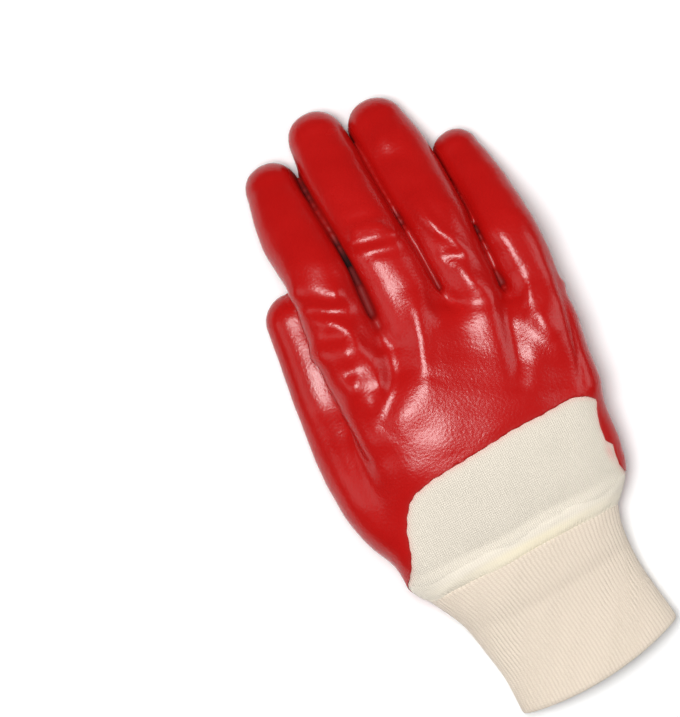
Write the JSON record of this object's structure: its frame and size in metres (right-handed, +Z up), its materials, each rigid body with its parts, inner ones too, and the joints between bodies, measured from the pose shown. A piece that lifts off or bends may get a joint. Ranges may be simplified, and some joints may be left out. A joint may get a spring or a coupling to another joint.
{
  "type": "pvc coated work glove",
  "caption": "Right-hand work glove lying palm down: knitted cotton dipped in red PVC, bare knit back and ribbed knit wrist, open at the hem.",
  "frame": {"origin": "on the surface the glove lies on, below the middle of its bounding box", "axes": "+Y from the hem to the fingertips, +Z up out of the back of the hand, -X towards the thumb"},
  "size_m": [0.1286, 0.2724, 0.05],
  "materials": {
    "coating": "gloss",
    "liner": "matte",
    "seam": "matte",
    "wrist": "matte"
  },
  "bodies": {
    "root": {"pvc_coating": "coating", "knit_liner": "liner", "wrist_seam": "seam", "knit_wrist": "wrist"}
  },
  "joints": []
}
